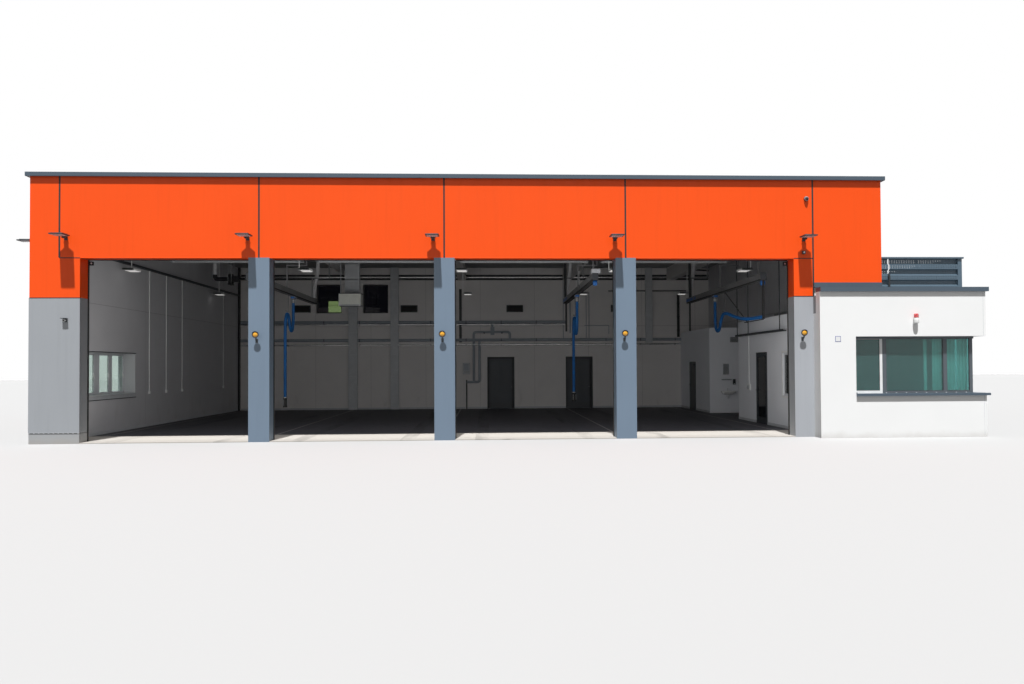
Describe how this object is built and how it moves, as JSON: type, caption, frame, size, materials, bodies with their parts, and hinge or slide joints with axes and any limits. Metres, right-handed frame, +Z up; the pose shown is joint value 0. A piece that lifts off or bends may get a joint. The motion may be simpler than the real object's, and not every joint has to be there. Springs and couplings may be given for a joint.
{
  "type": "fire station building",
  "caption": "Flat-roofed fire station hall with open vehicle bays, orange fascia and a low white annex with a corner window.",
  "frame": {"origin": "middle of the foot of the centre pillar, on the ground", "axes": "+Z up, +Y into the building through the bays, +X to the right along the facade"},
  "size_m": [24.849, 19.639, 6.765],
  "materials": {
    "beacon": "gloss",
    "blinds": "matte",
    "coping": "satin",
    "dark_frame": "satin",
    "door_panel": "satin",
    "floor": "satin",
    "glass": "polished",
    "grey": "satin",
    "hose": "matte",
    "lamp": "matte",
    "nozzle": "matte",
    "orange": "satin",
    "pillar": "satin",
    "roofing": "matte",
    "screen": "satin",
    "steel": "satin",
    "wall": "matte",
    "white_frame": "satin",
    "white_wall": "matte"
  },
  "bodies": {
    "building": {"alarm_lamp": "beacon", "annex_back_wall": "white_wall", "annex_coping": "coping", "annex_front_wall": "white_wall", "annex_roof": "roofing", "annex_side_wall": "white_wall", "back_wall_heads": "wall", "back_wall_left": "wall", "back_wall_middle": "wall", "back_wall_right": "wall", "bay_pillars": "pillar", "ceiling_lights": "lamp", "corner_pier": "wall", "corner_window_frame": "dark_frame", "corner_window_glass": "glass", "corner_window_sash": "white_frame", "corner_window_sill": "coping", "door_frames": "dark_frame", "door_tracks": "steel", "end_pillar": "grey", "exhaust_rails": "steel", "floodlights": "steel", "floor": "floor", "front_lintel": "wall", "grey_cladding": "grey", "heater_and_ducts": "steel", "left_exhaust_hose": "hose", "left_hose_nozzle": "nozzle", "left_wall": "wall", "middle_exhaust_hose": "hose", "middle_hose_nozzle": "nozzle", "orange_cladding": "orange", "partition_front": "white_wall", "partition_head": "white_wall", "partition_rear": "white_wall", "pier_plinth": "grey", "rear_room_front_wall": "white_wall", "rear_room_side_wall": "white_wall", "right_exhaust_hose": "hose", "right_wall": "wall", "right_wall_upper": "wall", "roof_coping": "coping", "roof_deck": "roofing", "roof_girders": "wall", "roof_screen": "screen", "room_ceilings": "white_wall", "sectional_doors": "door_panel", "signal_boxes": "dark_frame", "wall_fittings": "dark_frame", "wall_pipes": "steel", "warning_beacons": "beacon", "washbasin": "white_frame", "window_blinds": "blinds", "window_frames": "dark_frame", "window_glass": "glass"},
    "partition_door": {"partition_door": "dark_frame", "partition_door_glass": "glass"},
    "rear_room_door": {"rear_room_door": "dark_frame"},
    "back_door_left": {"back_door_left": "dark_frame"},
    "back_door_right": {"back_door_right": "dark_frame"}
  },
  "joints": [
    {"name": "partition_door_hinge", "type": "hinge", "parent": "building", "child": "partition_door", "pos_m": [9.7307, 4.738, 1], "axis": [0, 0, 1], "range_deg": [0, 90]},
    {"name": "rear_room_door_hinge", "type": "hinge", "parent": "building", "child": "rear_room_door", "pos_m": [9.7307, 15.108, 1], "axis": [0, 0, 1], "range_deg": [0, 90]},
    {"name": "back_door_left_hinge", "type": "hinge", "parent": "building", "child": "back_door_left", "pos_m": [1.153, 18.6443, 1], "axis": [0, 0, 1], "range_deg": [0, 90]},
    {"name": "back_door_right_hinge", "type": "hinge", "parent": "building", "child": "back_door_right", "pos_m": [4.633, 18.6443, 1], "axis": [0, 0, 1], "range_deg": [0, 90]}
  ]
}
